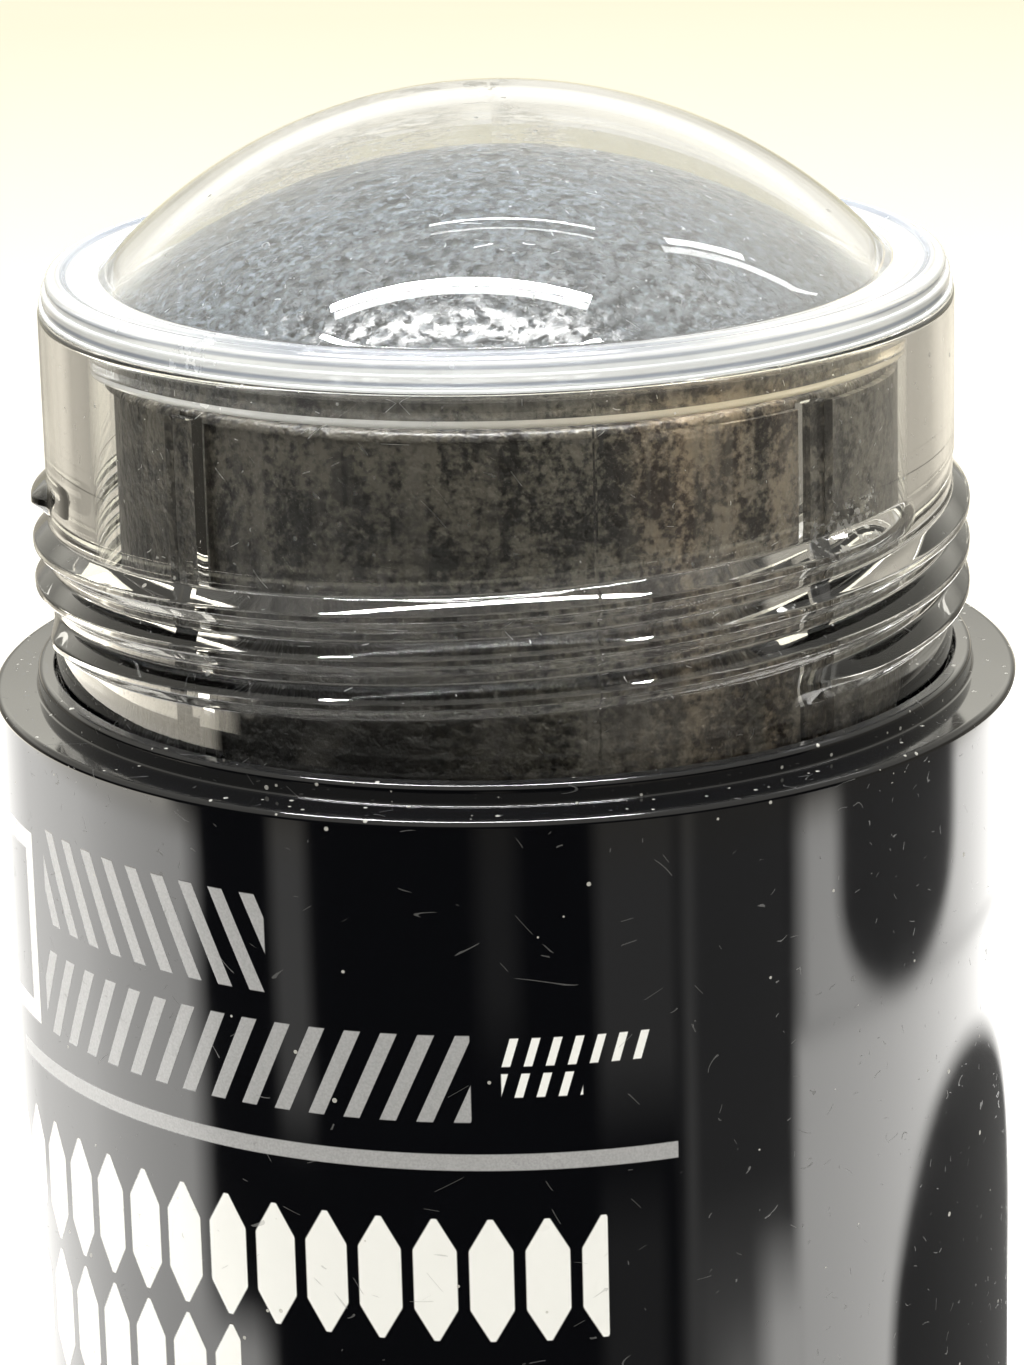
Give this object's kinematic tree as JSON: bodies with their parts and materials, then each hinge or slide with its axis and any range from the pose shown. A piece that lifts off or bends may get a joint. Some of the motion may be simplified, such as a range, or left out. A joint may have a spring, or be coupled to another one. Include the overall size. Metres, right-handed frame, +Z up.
{
  "type": "deodorant stick",
  "caption": "Round twist-up deodorant stick with a black shell, a clear threaded neck, a domed clear seal over charcoal product, and a base dial that winds the product up.",
  "frame": {"origin": "centre of the dial's foot, on the surface that the stick stands on", "axes": "+Z up along the stick's axis, towards the seal; -Y towards the printed front"},
  "size_m": [0.05, 0.05, 0.1005],
  "materials": {
    "black_shell": "glossy injection-moulded black with fine scratches, dust and flat silver and white print",
    "black_dial": "glossy injection-moulded black",
    "black_plate": "plain moulded black",
    "clear_barrel": "clear moulded plastic, polished",
    "clear_seal": "clear moulded plastic, polished",
    "natural_plastic": "unpigmented moulded plastic",
    "charcoal_product": "gritty charcoal-grey solid deodorant, slightly waxy"
  },
  "bodies": {
    "case": {"outer_shell": "black_shell", "clear_barrel": "clear_barrel", "bearing_plate": "black_plate"},
    "dial": {"base_dial": "black_dial", "feed_screw": "natural_plastic"},
    "lift": {"elevator": "natural_plastic", "deodorant_stick": "charcoal_product"},
    "seal": {"seal_dome": "clear_seal"}
  },
  "joints": [
    {"name": "dial_turn", "type": "hinge", "parent": "case", "child": "dial", "pos_m": [0, 0, 0], "axis": [0, 0, 1], "range_deg": [0, 4320]},
    {"name": "product_lift", "type": "slide", "parent": "case", "child": "lift", "axis": [0, 0, 1], "range_m": [0, 0.06]},
    {"name": "seal_pull", "type": "slide", "parent": "lift", "child": "seal", "axis": [0, 0, 1], "range_m": [0, 0.03]}
  ],
  "couplings": [
    {"joint": "dial_turn", "follows": "product_lift", "rad_per_m": 1256.6}
  ]
}
